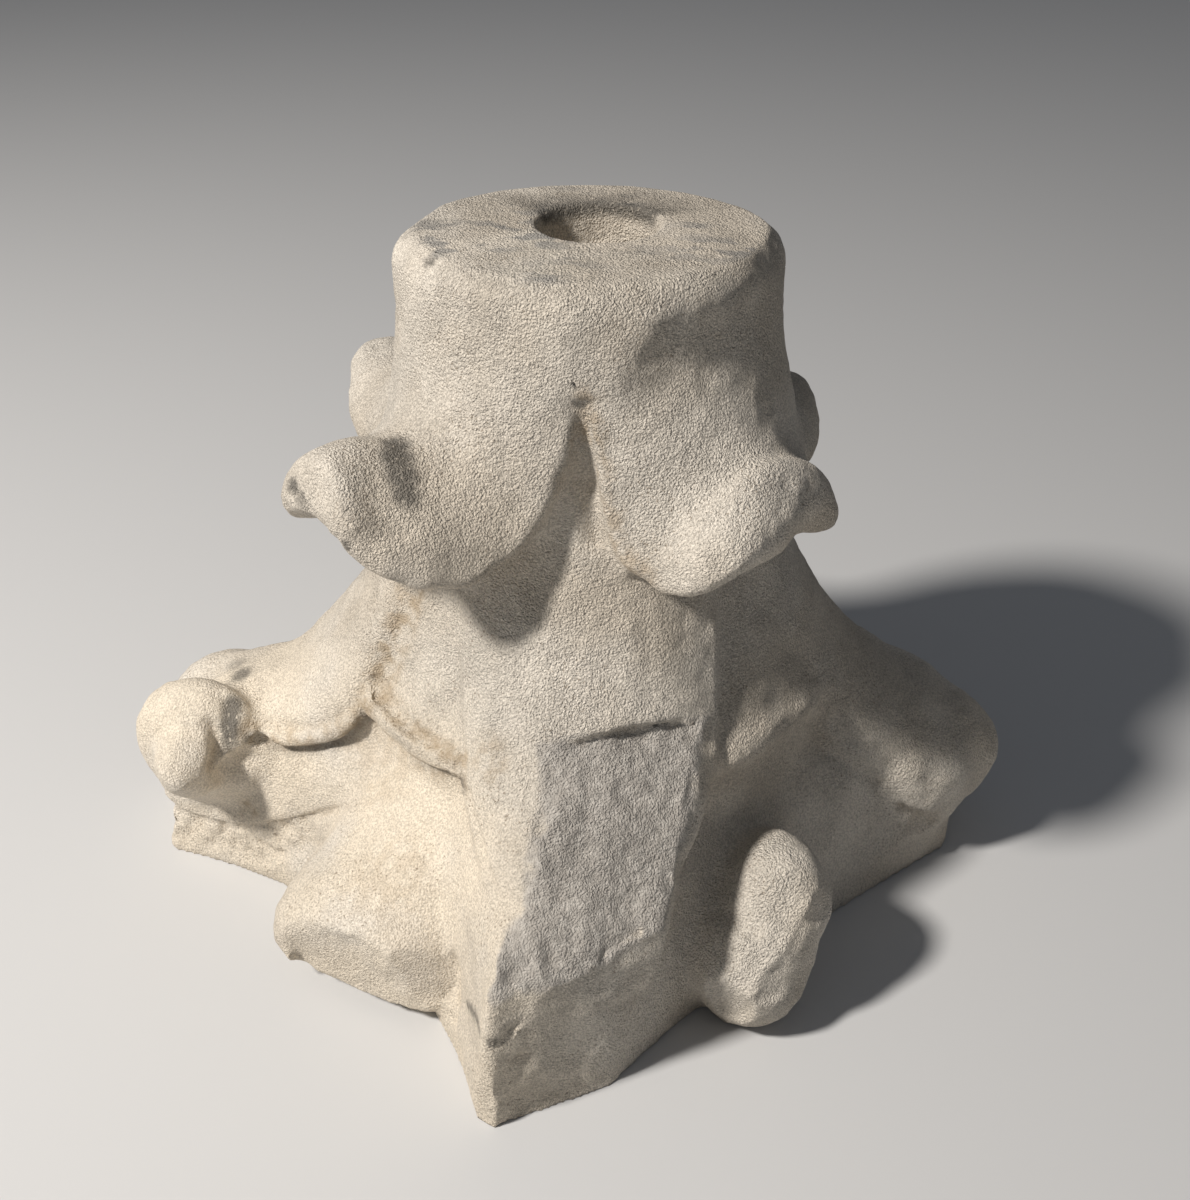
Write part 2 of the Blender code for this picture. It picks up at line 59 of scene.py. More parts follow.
# The block
# The whole capital is one block of coarse white marble. It is roughed out here as a fine even skin
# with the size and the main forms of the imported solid, for the carving below to work on.
SKIN_STEP = 0.0014
HEIGHT = 0.305
END_SKIN = (0.0004, 0.004)
MELT_WIDTH = 0.0066
MELT_PASSES = 0.9
MELT_STEP = 0.55
MELT_RETURN = 0.57
FILL_PASSES = 0.5
LINE_STEPS = 16


def skin_of(stone, step):
    """Wrap a stone in an even closed skin of small quads and return its mesh."""
    wrap = stone.modifiers.new("skin", "REMESH")
    wrap.mode = "VOXEL"
    wrap.voxel_size = step
    wrap.use_smooth_shade = True
    depsgraph = bpy.context.evaluated_depsgraph_get()
    mesh = bpy.data.meshes.new_from_object(stone.evaluated_get(depsgraph))
    stone.modifiers.clear()
    return mesh


def read(source, name, width, kind):
    """Read one property of all of a mesh's elements into an array."""
    values = np.empty(len(source) * width, dtype=kind)
    source.foreach_get(name, values)
    return values.reshape(-1, width)


class Skin:
    """The working surface: its points, the way each one faces, and who its neighbours are."""

    def __init__(self, mesh):
        self.mesh = mesh
        self.points = read(mesh.vertices, "co", 3, np.float32).astype(float)
        self.edges = read(mesh.edges, "vertices", 2, np.int32)
        self.count = np.bincount(self.edges.ravel(), minlength=len(self.points)).astype(float)
        self.face_again()

    def face_again(self):
        """Work out afresh which way each point faces."""
        self.mesh.vertices.foreach_set("co", self.points.astype(np.float32).ravel())
        self.mesh.update()
        self.facing = read(self.mesh.vertex_normals, "vector", 3, np.float32).astype(float)

    def spread(self, values):
        """Return, for each point, the mean of its neighbours' values."""
        one, two = self.edges.T
        size = len(self.points)
        means = [(np.bincount(one, column[two], size) + np.bincount(two, column[one], size))
                 / self.count for column in values.T]
        return np.stack(means, 1)

    def melt(self, width, weight):
        """Soften the forms narrower than a width, without shrinking the stone."""
        for _ in range(max(1, round((width / SKIN_STEP) ** 2 * MELT_PASSES))):
            self.points += (self.spread(self.points) - self.points) * MELT_STEP * weight[:, None]
            self.points -= (self.spread(self.points) - self.points) * MELT_RETURN * weight[:, None]
        self.face_again()

    def fill(self, width, weight):
        """Let the hollows and creases narrower than a width flow full."""
        for _ in range(max(1, round((width / SKIN_STEP) ** 2 * FILL_PASSES))):
            self.points += (self.spread(self.points) - self.points) * weight[:, None]
        self.face_again()


def at(bearing, reach, height):
    """Return the point at a bearing, a reach from the axis and a height."""
    turn = math.radians(bearing)
    return np.array((reach * math.cos(turn), reach * math.sin(turn), height))


def heading(bearing, rise):
    """Return the direction at a bearing that rises by an angle."""
    return at(bearing, math.cos(math.radians(rise)), math.sin(math.radians(rise)))


def fade(values, start, end):
    """Return 0 before start and 1 past end, with a smooth run between them."""
    t = np.clip((values - start) / (end - start), 0, 1)
    return t * t * (3 - 2 * t)


def line(*places):
    """Return close-set points along the smooth line through some places."""
    rows = np.array([at(*place) for place in places])
    rows = np.vstack([2 * rows[0] - rows[1], rows, 2 * rows[-1] - rows[-2]])
    drawn = []
    for a, b, c, d in zip(rows, rows[1:], rows[2:], rows[3:]):
        for t in np.linspace(0, 1, LINE_STEPS, endpoint=False):
            bend = (2 * a - 5 * b + 4 * c - d) * t ** 2 + (3 * b - a - 3 * c + d) * t ** 3
            drawn.append(0.5 * (2 * b + (c - a) * t + bend))
    return np.array(drawn + [rows[-2]])


def near_line(path, width):
    """Return the points within a width of a line, their distance and their nearest place on it."""
    inside = (skin.points > path.min(0) - width) & (skin.points < path.max(0) + width)
    near = np.flatnonzero(inside.all(axis=1))
    spots = skin.points[near]
    gaps = (spots ** 2).sum(1)[:, None] + (path ** 2).sum(1) - 2 * spots @ path.T
    nearest = gaps.argmin(1)
    gap = np.sqrt(np.maximum(gaps[np.arange(len(near)), nearest], 0))
    close = gap < width
    return near[close], gap[close], nearest[close]


BREAK_TOP = line((261.0, 0.1141, 0.1303), (264.8, 0.1114, 0.1339), (271.3, 0.1085, 0.1380),
                 (280.0, 0.1075, 0.1326), (288.6, 0.1069, 0.1306))
BREAK_LEFT = line((264.8, 0.1114, 0.1339), (262.9, 0.1185, 0.1253), (261.5, 0.1267, 0.1167),
                  (261.0, 0.1412, 0.1037), (260.7, 0.1522, 0.0931), (257.5, 0.1551, 0.0864),
                  (255.1, 0.1603, 0.0741), (254.5, 0.1678, 0.0542))
BREAK_RIGHT = line((289.0, 0.1072, 0.1306), (286.8, 0.1232, 0.1112), (285.3, 0.1354, 0.0914),
                   (280.1, 0.1482, 0.0845), (277.4, 0.1571, 0.0767))
BREAK_FOOT = line((259.3, 0.1852, 0.0533), (266.6, 0.1716, 0.0620), (271.1, 0.1653, 0.0691),
                  (277.4, 0.1571, 0.0767))
CRISP_EDGES = (BREAK_TOP, BREAK_LEFT, BREAK_RIGHT, BREAK_FOOT)
CRISP_WIDTH = 0.007
CRISP_CORE = 0.002
CRISP_MELT = 0.12

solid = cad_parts["capital"]
capital = bpy.data.objects.new("capital_stone", solid.data.copy())
bpy.context.scene.collection.objects.link(capital)
capital.data.transform(solid.matrix_world)
capital.data = skin_of(capital, SKIN_STEP)
skin = Skin(capital.data)
heights = skin.points[:, 2]
off_the_ends = fade(np.minimum(heights, HEIGHT - heights), *END_SKIN)
soft = off_the_ends.copy()
for edge in CRISP_EDGES:
    near, gap, _ = near_line(edge, CRISP_WIDTH)
    share = CRISP_MELT + (1 - CRISP_MELT) * fade(gap, CRISP_CORE, CRISP_WIDTH)
    soft[near] = np.minimum(soft[near], share)
skin.melt(MELT_WIDTH, soft)

# The neck
# The round neck once met the column. Its bed is flat, its rim is worn round, more so at the right
# and the back, and rain has hollowed its right front. A blunt ridge runs down its front.
LEAF_ROOT_RISE = (0.228, 0.246)
LEAF_ROOT_FALL = (0.276, 0.290)
LEAF_ROOT_REACH = (0.086, 0.098)
LEAF_ROOT_WIDTH = 0.017
STROKE_END = -1e-6
STROKE_SPAN = 2.2
SWELL_SPAN = 2.4
FACET_CORE = 0.7
CALM_CORE = 0.5


def reaches():
    """Return every point's distance from the axis."""
    return np.hypot(skin.points[:, 0], skin.points[:, 1])


def stroke(path, width, lift, ends=0.15, edge=2):
    """Raise the stone along a line, or groove it where the lift is negative.

    A higher edge makes the flanks of the raised band steeper.
    """
    near, gap, nearest = near_line(path, STROKE_SPAN * width)
    share = nearest / (len(path) - 1)
    lift = lift * np.exp(-(gap / width) ** edge)
    lift *= fade(np.minimum(share, 1 - share), STROKE_END, ends)
    skin.points[near] += skin.facing[near] * lift[:, None]


def swell(place, width, lift, way=None):
    """Raise the stone in a soft mound at a place, or dent it where the lift is negative."""
    gap = np.linalg.norm(skin.points - at(*place), axis=1)
    near = np.flatnonzero(gap < SWELL_SPAN * width)
    lift = lift * np.exp(-(gap[near] / width) ** 2)
    toward = skin.facing[near] if way is None else way
    skin.points[near] += toward * lift[:, None]


def facet(place, toward, reach):
    """Cut the stone flat at a place: what stands past the plane there comes down to it."""
    middle = at(*place)
    gap = np.linalg.norm(skin.points - middle, axis=1)
    near = np.flatnonzero(gap < reach)
    over = np.maximum((skin.points[near] - middle) @ toward, 0)
    skin.points[near] -= toward * (over * (1 - fade(gap[near], FACET_CORE * reach, reach)))[:, None]


def push(place, width, way):
    """Shift the stone about a place by a vector, fading out to nothing at a width."""
    gap = np.linalg.norm(skin.points - at(*place), axis=1)
    skin.points += np.array(way) * (1 - fade(gap, 0, width))[:, None]


def calm_down(place, reach, width):
    """Soften the forms narrower than a width within a reach of a place."""
    gap = np.linalg.norm(skin.points - at(*place), axis=1)
    skin.melt(width, 1 - fade(gap, CALM_CORE * reach, reach))


heights = skin.points[:, 2]
roots = fade(heights, *LEAF_ROOT_RISE) * (1 - fade(heights, *LEAF_ROOT_FALL))
roots *= 1 - fade(reaches(), *LEAF_ROOT_REACH)
skin.fill(LEAF_ROOT_WIDTH, roots)
NECK_RIDGE = line((283.4, 0.0740, 0.298), (281.3, 0.0772, 0.2897), (277.5, 0.0774, 0.2749),
                  (270, 0.0780, 0.262))
stroke(NECK_RIDGE, width=0.010, lift=0.0014)
push((175.7, 0.0707, 0.3054), width=0.022, way=(0.0022, -0.0006, -0.0012))
push((343.5, 0.0740, 0.3000), width=0.030, way=(-0.0018, 0.0010, -0.0030))
skin.face_again()

# The upper leaves
# Four broad leaves spring from the neck and curl over. They are cut with thick rounded rims, with a
# V between the two front ones, and the left one ends in a broken beak that leaves a stepped scar.
LEFT_RIM = line((265.6, 0.0785, 0.2640), (264.2, 0.0790, 0.2560), (260.6, 0.0812, 0.2400),
                (257.0, 0.0846, 0.2250), (253.2, 0.0916, 0.2129), (249.3, 0.1008, 0.2058),
                (245.4, 0.1114, 0.2020), (240.7, 0.1238, 0.2029))
RIGHT_RIM = line((266.6, 0.0780, 0.2640), (269.3, 0.0785, 0.2496), (272.1, 0.0808, 0.2327),
                 (276.7, 0.0865, 0.2058), (282.0, 0.0945, 0.1990))
NOTCH = line((266.0, 0.0785, 0.2655), (266.6, 0.0775, 0.2513), (267.4, 0.0755, 0.2339),
             (268.8, 0.0775, 0.2143), (270.0, 0.0810, 0.200))
LEFT_UNDER_RIM = line((262.6, 0.0770, 0.2380), (258.6, 0.0800, 0.2215), (254.4, 0.0880, 0.2090),
                      (249.6, 0.0980, 0.2010), (245.0, 0.1090, 0.1965))

stroke(NOTCH, width=0.0050, lift=-0.0034, ends=0.10)
stroke(RIGHT_RIM, width=0.0036, lift=0.0020)
stroke(LEFT_RIM, width=0.0044, lift=0.0016)
stroke(LEFT_UNDER_RIM, width=0.0040, lift=-0.0020)
skin.face_again()
LEFT_LEAF_VALLEY = line((222.1, 0.1109, 0.2432), (232.4, 0.1249, 0.2332), (236.8, 0.1292, 0.2176))
stroke(LEFT_LEAF_VALLEY, width=0.010, lift=-0.0026)
LEFT_LEAF_LIP = line((219.0, 0.138, 0.243), (227.0, 0.136, 0.238), (232.0, 0.138, 0.222))
stroke(LEFT_LEAF_LIP, width=0.0060, lift=0.0018)
facet((217.0, 0.1425, 0.2262), toward=heading(214, -22), reach=0.016)
facet((229.5, 0.1425, 0.2170), toward=heading(226, -38), reach=0.012)
FLAKE_LINE = line((215.5, 0.1420, 0.2290), (218.5, 0.1405, 0.2262), (224.0, 0.1420, 0.2200),
                  (230.0, 0.1415, 0.2180))
stroke(FLAKE_LINE, width=0.0020, lift=-0.0020)
push((323.0, 0.1185, 0.2145), width=0.038, way=(-0.0080, 0.0020, 0.0066))
push((312.0, 0.1130, 0.1960), width=0.030, way=(0.0010, -0.0020, -0.0030))
swell((305.3, 0.0975, 0.2361), width=0.013, lift=0.0018)
calm_down((326.0, 0.1080, 0.2160), reach=0.036, width=0.0115)

# The bell and its lip
# The bell widens from the waist to a moulded lip, cut as two soft rolls with a groove between them
# and a sharp line below. Two faint flutes run down the front leaf to the break.
LIP_UPPER = line((207.5, 0.1065, 0.1200), (211.3, 0.1075, 0.1185), (225.3, 0.1090, 0.1160),
                 (235.0, 0.1098, 0.1142), (242.1, 0.1120, 0.1150))
LIP_LOWER = line((207.8, 0.1108, 0.1025), (219.1, 0.1080, 0.0986), (230.1, 0.1085, 0.0994),
                 (243.4, 0.1150, 0.1060))
LIP_BAND = line((207.0, 0.1075, 0.1125), (219.0, 0.1080, 0.1080), (231.0, 0.1085, 0.1075),
                (243.5, 0.1130, 0.1108))
stroke(LIP_BAND, width=0.0072, lift=0.0034, ends=0.08, edge=6)
skin.face_again()
LIP_GROOVE = line((207.5, 0.1105, 0.1135), (219.0, 0.1110, 0.1100), (231.0, 0.1112, 0.1092),
                  (243.0, 0.1145, 0.1118))
stroke(LIP_GROOVE, width=0.0020, lift=-0.0016, ends=0.12)
stroke(LIP_UPPER, width=0.0024, lift=-0.0030, ends=0.08)
skin.face_again()
stroke(LIP_LOWER, width=0.0024, lift=-0.0046, ends=0.04)
FRONT_LEAF_EDGE = line((229.9, 0.0883, 0.1525), (238.4, 0.1035, 0.1274), (244.6, 0.1186, 0.1092))
stroke(FRONT_LEAF_EDGE, width=0.0034, lift=-0.0012)
HORN_LINE = line((244.2, 0.1180, 0.1100), (247.6, 0.1263, 0.1018), (252.4, 0.1391, 0.0923),
                 (256.7, 0.1530, 0.0860))
stroke(HORN_LINE, width=0.0022, lift=-0.0018)
FLUTE_BEARINGS = (274.8, 283.2)
for bearing in FLUTE_BEARINGS:
    flute = line((bearing + 0.3, 0.0861, 0.1835), (bearing, 0.0951, 0.1610),
                 (bearing - 0.6, 0.1063, 0.1400))
    stroke(flute, width=0.0042, lift=-0.0005)
FRONT_ARRIS = line((304.2, 0.0830, 0.1734), (301.5, 0.0918, 0.1510), (298.4, 0.1017, 0.1294),
                   (295.4, 0.1112, 0.1126))
stroke(FRONT_ARRIS, width=0.0035, lift=0.0014)
RIGHT_LIP = line((299.3, 0.1053, 0.0985), (304.9, 0.1085, 0.1090), (314.4, 0.1075, 0.1154),
                 (320.2, 0.1070, 0.1161))
stroke(RIGHT_LIP, width=0.0065, lift=0.0006)
swell((318.0, 0.1075, 0.1150), width=0.0120, lift=-0.0026)
skin.face_again()

# The corner leaves
# A broad leaf lies against the bell under each horn and ends at its volute. The left one has a
# rounded lower edge with a dark groove under it, the right one a rough proud edge.
VALLEY = line((212.0, 0.0868, 0.1720), (211.1, 0.0898, 0.1634), (210.6, 0.0949, 0.1497),
              (209.8, 0.1007, 0.1358), (209.7, 0.1062, 0.1221), (209.6, 0.1099, 0.1120))
LEFT_HEM = line((193.4, 0.1592, 0.0790), (194.9, 0.1466, 0.0745), (198.9, 0.1339, 0.0790),
                (203.6, 0.1197, 0.0888), (208.4, 0.1102, 0.1046))
stroke(VALLEY, width=0.0070, lift=-0.0034, ends=0.10)
HEM_ROLL = line((193.4, 0.1600, 0.0832), (194.9, 0.1475, 0.0790), (198.9, 0.1345, 0.0836),
                (203.6, 0.1205, 0.0932), (207.8, 0.1105, 0.1085))
stroke(HEM_ROLL, width=0.0040, lift=0.0026, ends=0.05, edge=4)
HEM_GROOVE = line((193.4, 0.1590, 0.0895), (194.9, 0.1455, 0.0860), (198.9, 0.1325, 0.0905),
                  (203.0, 0.1185, 0.1000), (206.6, 0.1085, 0.1150))
stroke(HEM_GROOVE, width=0.0026, lift=-0.0014)
skin.face_again()
stroke(LEFT_HEM, width=0.0026, lift=-0.0040, ends=0.05)
RIGHT_HEM = line((327.1, 0.1042, 0.1190), (332.0, 0.1090, 0.1020), (337.9, 0.1135, 0.0850),
                 (342.9, 0.1308, 0.0707), (345.2, 0.1400, 0.0629))
UNDER_RIGHT_HEM = line((323.7, 0.1080, 0.1138), (336.6, 0.1146, 0.0804), (341.4, 0.1311, 0.0648),
                       (343.8, 0.1391, 0.0537))
stroke(RIGHT_HEM, width=0.0050, lift=0.0024, ends=0.40)
stroke(UNDER_RIGHT_HEM, width=0.0042, lift=-0.0026, ends=0.10)
skin.face_again()

# The volutes
# Each horn carried a scroll. The left one keeps its round boss with a broken conical nub over a
# deep undercut, and the disc behind it. The right one is worn down to a cracked, faceted knob.
NUB_SIDE = line((191.9, 0.1796, 0.0910), (193.3, 0.1743, 0.0845), (195.1, 0.1738, 0.0757),
                (197.2, 0.1807, 0.0691))
swell((195.4, 0.1900, 0.0775), width=0.0085, lift=0.0068, way=heading(236, -14))
push((196.8, 0.1900, 0.0735), width=0.0140, way=(0.0006, -0.0016, -0.0030))
swell((197.0, 0.1900, 0.0700), width=0.0050, lift=0.0034, way=heading(240, -24))
facet((193.0, 0.1955, 0.0870), toward=heading(206, 34), reach=0.013)
stroke(NUB_SIDE, width=0.0028, lift=-0.0042, ends=0.25)
skin.face_again()
swell((195.0, 0.1700, 0.0660), width=0.0085, lift=-0.0058)
swell((193.2, 0.1605, 0.0690), width=0.0060, lift=-0.0032)
FIN_CREASE = line((190.6, 0.1655, 0.0990), (192.6, 0.1677, 0.0886), (194.9, 0.1708, 0.0730))
stroke(FIN_CREASE, width=0.0034, lift=-0.0014)
FIN_RIDGE = line((188.2, 0.1690, 0.1000), (190.4, 0.1620, 0.0930), (192.4, 0.1610, 0.0800))
stroke(FIN_RIDGE, width=0.0034, lift=0.0014)
facet((193.5, 0.1935, 0.0850), toward=heading(214, 32), reach=0.012)
swell((346.8, 0.1494, 0.0620), width=0.0095, lift=0.0042, way=heading(285, 35))
swell((350.0, 0.1690, 0.0540), width=0.0110, lift=0.0046, way=heading(290, 38))
skin.face_again()
KNOB_CRACK = line((344.4, 0.1432, 0.0460), (345.8, 0.1518, 0.0379), (347.6, 0.1580, 0.0345),
                  (350.8, 0.1660, 0.0330))
stroke(KNOB_CRACK, width=0.0024, lift=-0.0042)
facet((349.0, 0.1560, 0.0230), toward=heading(304, 12), reach=0.014)
skin.face_again()

# The abacus
# The four-horned slab. Its band is broken back and left ragged under the left scroll, whose disc
# ends above it in a crescent line.
CRESCENT = line((184.6, 0.2060, 0.0290), (186.1, 0.2012, 0.0245), (188.8, 0.1841, 0.0225),
                (192.5, 0.1650, 0.0261), (197.8, 0.1466, 0.0369), (203.1, 0.1343, 0.0478),
                (210.6, 0.1247, 0.0626))
BAND_FALL = 0.022
BAND_EDGE = (-0.0006, 0.0010)
BAND_FOOT = (0.014, BAND_FALL)
BAND_END = (0.62, 0.85)
BAND_CUT = 0.0030
BAND_LUMPS = (0.0060, 0.0018, 31)
BAND_CHIPS = (0.0030, 0.0009, 32)
LATTICE_SIDE = 64
LATTICE_SHIFT = (7.3, 19.1, 31.7)
LATTICE = np.random.default_rng(7).uniform(-1, 1, (LATTICE_SIDE, LATTICE_SIDE, LATTICE_SIDE))


def waves(places, size, seed):
    """Return a smooth random field, about -1 to 1, whose lumps are a size apart."""
    spot = places / size + np.array(LATTICE_SHIFT) * seed
    cell = np.floor(spot).astype(int)
    part = spot - cell
    part = part * part * (3 - 2 * part)
    total = np.zeros(len(places))
    for corner in range(8):
        step = np.array((corner & 1, corner >> 1 & 1, corner >> 2 & 1))
        share = np.prod(np.where(step, part, 1 - part), axis=1)
        x, y, z = ((cell + step) % LATTICE_SIDE).T
        total += share * LATTICE[x, y, z]
    return total


def lumps(places, *layers):
    """Return the rough relief of layers that each have a size, a depth and a seed."""
    return sum(waves(places, size, seed) * depth for size, depth, seed in layers)


near, _, nearest = near_line(CRESCENT, BAND_FALL)
down = (CRESCENT[nearest] - skin.points[near])[:, 2]
along = nearest / (len(CRESCENT) - 1)
broken = fade(down, *BAND_EDGE) * (1 - fade(down, *BAND_FOOT)) * (1 - fade(along, *BAND_END))
skin.points[near] -= skin.facing[near] * (broken * BAND_CUT)[:, None]
skin.face_again()
ragged = np.zeros(len(skin.points))
ragged[near] = broken
stroke(CRESCENT, width=0.0018, lift=-0.0022, ends=0.05)
BAND_CHIP = line((192.6, 0.1640, 0.0200), (194.8, 0.1560, 0.0150), (197.4, 0.1500, 0.0180))
stroke(BAND_CHIP, width=0.0024, lift=-0.0024)
skin.face_again()
chips = lumps(skin.points, BAND_LUMPS, BAND_CHIPS)
skin.points += skin.facing * (chips * ragged * off_the_ends)[:, None]
skin.face_again()

# The tongue and the bosses
# A broken tongue stands out at the left front and a worn two-lobed boss at the right front. The
# ends of both are knocked into blunt facets. The bosses of the hidden sides stay smooth.
TONGUE_NOTCH = (224, 0.163, 0.035)
NOTCH_REACH = 0.022
NOTCH_WIDTH = 0.012
NOTCH_SHARE = 0.9
gap = np.linalg.norm(skin.points - at(*TONGUE_NOTCH), axis=1)
skin.fill(NOTCH_WIDTH, np.where(gap < NOTCH_REACH, NOTCH_SHARE, 0.0))
facet((237.5, 0.1600, 0.0410), toward=heading(246, 16), reach=0.026)
facet((243.0, 0.1500, 0.0330), toward=heading(272, 10), reach=0.020)
TONGUE_ARRIS = line((243.0, 0.1590, 0.0440), (242.6, 0.1640, 0.0290), (242.0, 0.1640, 0.0140))
stroke(TONGUE_ARRIS, width=0.0045, lift=0.0022)
TONGUE_FLANK = line((247.0, 0.1490, 0.0440), (248.0, 0.1520, 0.0280), (248.6, 0.1560, 0.0120))
stroke(TONGUE_FLANK, width=0.0050, lift=-0.0030)
TONGUE_FACET_REACH = 0.0150
TONGUE_FACETS = ((229.0, 0.1665, 0.0300, 230, 8), (237.0, 0.1620, 0.0260, 244, 0),
                 (233.0, 0.1650, 0.0110, 236, -34), (241.0, 0.1620, 0.0120, 250, -30))
for bearing, reach, height, faces, rise in TONGUE_FACETS:
    facet((bearing, reach, height), toward=heading(faces, rise), reach=TONGUE_FACET_REACH)
    skin.face_again()
TONGUE_BROW = line((222.0, 0.1640, 0.0440), (230.5, 0.1600, 0.0445), (238.0, 0.1590, 0.0420),
                   (243.0, 0.1560, 0.0420))
stroke(TONGUE_BROW, width=0.0040, lift=0.0014)
facet((297.5, 0.1560, 0.0600), toward=heading(268, 30), reach=0.018)
facet((303.0, 0.1540, 0.0800), toward=heading(292, 52), reach=0.016)
facet((294.0, 0.1600, 0.0380), toward=heading(262, 8), reach=0.016)
facet((304.5, 0.1590, 0.0480), toward=heading(326, -4), reach=0.024)
skin.face_again()
swell((302.5, 0.1390, 0.0739), width=0.0110, lift=0.0030)
swell((291.5, 0.1500, 0.0350), width=0.0110, lift=0.0026)
BOSS_WAIST = line((292.6, 0.1250, 0.0560), (293.6, 0.1400, 0.0575), (297.4, 0.1530, 0.0570))
stroke(BOSS_WAIST, width=0.0050, lift=-0.0030)
skin.face_again()
BOSS_FACET_REACH = 0.0135
BOSS_FACETS = ((296.0, 0.1455, 0.0680, 270, 30), (303.0, 0.1480, 0.0780, 300, 55),
               (307.5, 0.1525, 0.0640, 318, 14), (299.5, 0.1545, 0.0590, 288, 26),
               (292.0, 0.1530, 0.0420, 262, 10), (296.5, 0.1600, 0.0400, 292, 4),
               (291.8, 0.1510, 0.0250, 250, -10), (297.5, 0.1620, 0.0180, 290, -34),
               (302.5, 0.1615, 0.0380, 320, -8))
for bearing, reach, height, faces, rise in BOSS_FACETS:
    facet((bearing, reach, height), toward=heading(faces, rise), reach=BOSS_FACET_REACH)
    skin.face_again()
BOSS_RIDGE = line((306.5, 0.1500, 0.0700), (301.0, 0.1570, 0.0560), (295.5, 0.1590, 0.0420),
                  (292.5, 0.1560, 0.0240))
stroke(BOSS_RIDGE, width=0.0032, lift=0.0014)
skin.face_again()

# The broken front corner
# The front horn has lost its scroll. The fresh break is a rough crystalline face with a stepped
# upper edge, and its left arris is blunt and chipped.
BREAK_POINT = at(273.2, 0.1054, 0.1345)
BREAK_FACING = heading(286.0, 42.4)
BREAK_ACROSS = heading(16.0, 0)
BREAK_RISING = np.cross(BREAK_FACING, BREAK_ACROSS)
BREAK_SKIN = (0.0022, 0.0040)
BREAK_TURN = (0.70, 0.86)
BREAK_START = (-0.002, 0.001)
BREAK_END = (0.125, 0.135)
BREAK_FILL = 0.9
BREAK_FILL_WIDTH = 0.004
BREAK_SINK = 0.0006
BREAK_SINK_REACH = 0.004
BREAK_SINK_TOP = 0.0015
BREAK_SINK_SIDE = 0.06
BREAK_GRAIN = (1.0, 0.8, 0.55)
BREAK_BUMPS = (0.0090, 0.00120, 21)
BREAK_RIDGES = (0.0046, 0.00090, 22)
BREAK_CRYSTALS = (0.0026, 0.00050, 23)


def break_face():
    """Return how fully each point lies on the fresh break."""
    offset = skin.points - BREAK_POINT
    depth = np.abs(offset @ BREAK_FACING)
    run = -(offset @ BREAK_RISING)
    facing = skin.facing @ BREAK_FACING
    on_it = (1 - fade(depth, *BREAK_SKIN)) * fade(facing, *BREAK_TURN)
    return on_it * fade(run, *BREAK_START) * (1 - fade(run, *BREAK_END))


skin.fill(BREAK_FILL_WIDTH, break_face() * BREAK_FILL)
offset = skin.points - BREAK_POINT
over = np.maximum(offset @ BREAK_FACING + BREAK_SINK, 0)
sunk = (over < BREAK_SINK_REACH) & (-(offset @ BREAK_RISING) > BREAK_SINK_TOP)
sunk &= np.abs(offset @ BREAK_ACROSS) < BREAK_SINK_SIDE
skin.points -= BREAK_FACING * np.where(sunk, over, 0)[:, None]
skin.face_again()
on_break = break_face()
stretched = skin.points * np.array(BREAK_GRAIN)
rough = lumps(stretched, BREAK_BUMPS, BREAK_RIDGES) + lumps(skin.points, BREAK_CRYSTALS)
skin.points += BREAK_FACING * (rough * on_break)[:, None]
skin.face_again()
BREAK_CRACK = line((271.1, 0.1653, 0.0691), (272.4, 0.1625, 0.0742), (275.3, 0.1579, 0.0770),
                   (277.4, 0.1569, 0.0770))
stroke(BREAK_CRACK, width=0.0016, lift=-0.0022)
facet((258.0, 0.1880, 0.0250), toward=heading(236, 0), reach=0.034)
facet((258.8, 0.1935, 0.0050), toward=heading(250, -36), reach=0.016)
facet((262.0, 0.1850, 0.0440), toward=heading(262, 34), reach=0.012)
swell((261.4, 0.1820, 0.0331), width=0.0045, lift=-0.0022)
swell((260.7, 0.1834, 0.0116), width=0.0050, lift=-0.0020)
skin.face_again()

# The weather
# Centuries outdoors have etched the marble: it undulates softly, its arrises are blunt, and its
# coarse crystals stand out like sugar.
SWELLS = ((0.034, 0.00090, 11), (0.015, 0.00050, 12), (0.0065, 0.00042, 13), (0.0034, 0.00026, 14))
BREAK_CALM = 0.6
weathered = off_the_ends * (1 - BREAK_CALM * on_break)
for layer in SWELLS:
    skin.points += skin.facing * (lumps(skin.points, layer) * weathered)[:, None]
skin.face_again()

# The fit
# The finished stone keeps the size of the solid and stands flat on its bed.
TRIANGLES = 195000
skin.points = np.clip(skin.points, np.array(cad_box[0]), np.array(cad_box[1]))
skin.face_again()
thin = capital.modifiers.new("thin", "DECIMATE")
thin.ratio = min(1.0, TRIANGLES / (2 * len(skin.mesh.polygons)))
depsgraph = bpy.context.evaluated_depsgraph_get()
capital.data = bpy.data.meshes.new_from_object(capital.evaluated_get(depsgraph))
capital.modifiers.clear()
capital.data.shade_smooth()
skin = Skin(capital.data)
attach(capital, "root")
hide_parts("capital")

# The stains and painted shade
# Soil and lichen have marked the stone: ochre in the creases, grey patina on the bed, a dark oval
# patch on the left leaf and black pits. Dark streaks in the hem groove and under the lip are
# painted shade. The break is greyer, partly its own stone and partly painted shade, and the lower
# left is worn smoother.
PATCH_EDGE = (0.55, 1.35)
TRAIL_EDGE = (0.5, 1.5)
OCHRE = ((267.2, 0.0780, 0.2480, 0.007, 0.8), (249.2, 0.1154, 0.1224, 0.010, 0.5),
         (192.2, 0.1639, 0.0354, 0.005, 0.9), (204.6, 0.1197, 0.0900, 0.012, 0.3),
         (232.0, 0.1400, 0.0650, 0.022, 0.30), (215.0, 0.1130, 0.0860, 0.020, 0.25))
OCHRE_TRAILS = ((VALLEY, 0.0080, 0.85), (HEM_ROLL, 0.0060, 0.65), (LIP_UPPER, 0.0045, 0.80),
                (RIGHT_RIM, 0.0045, 0.60), (LIP_LOWER, 0.0060, 0.60))
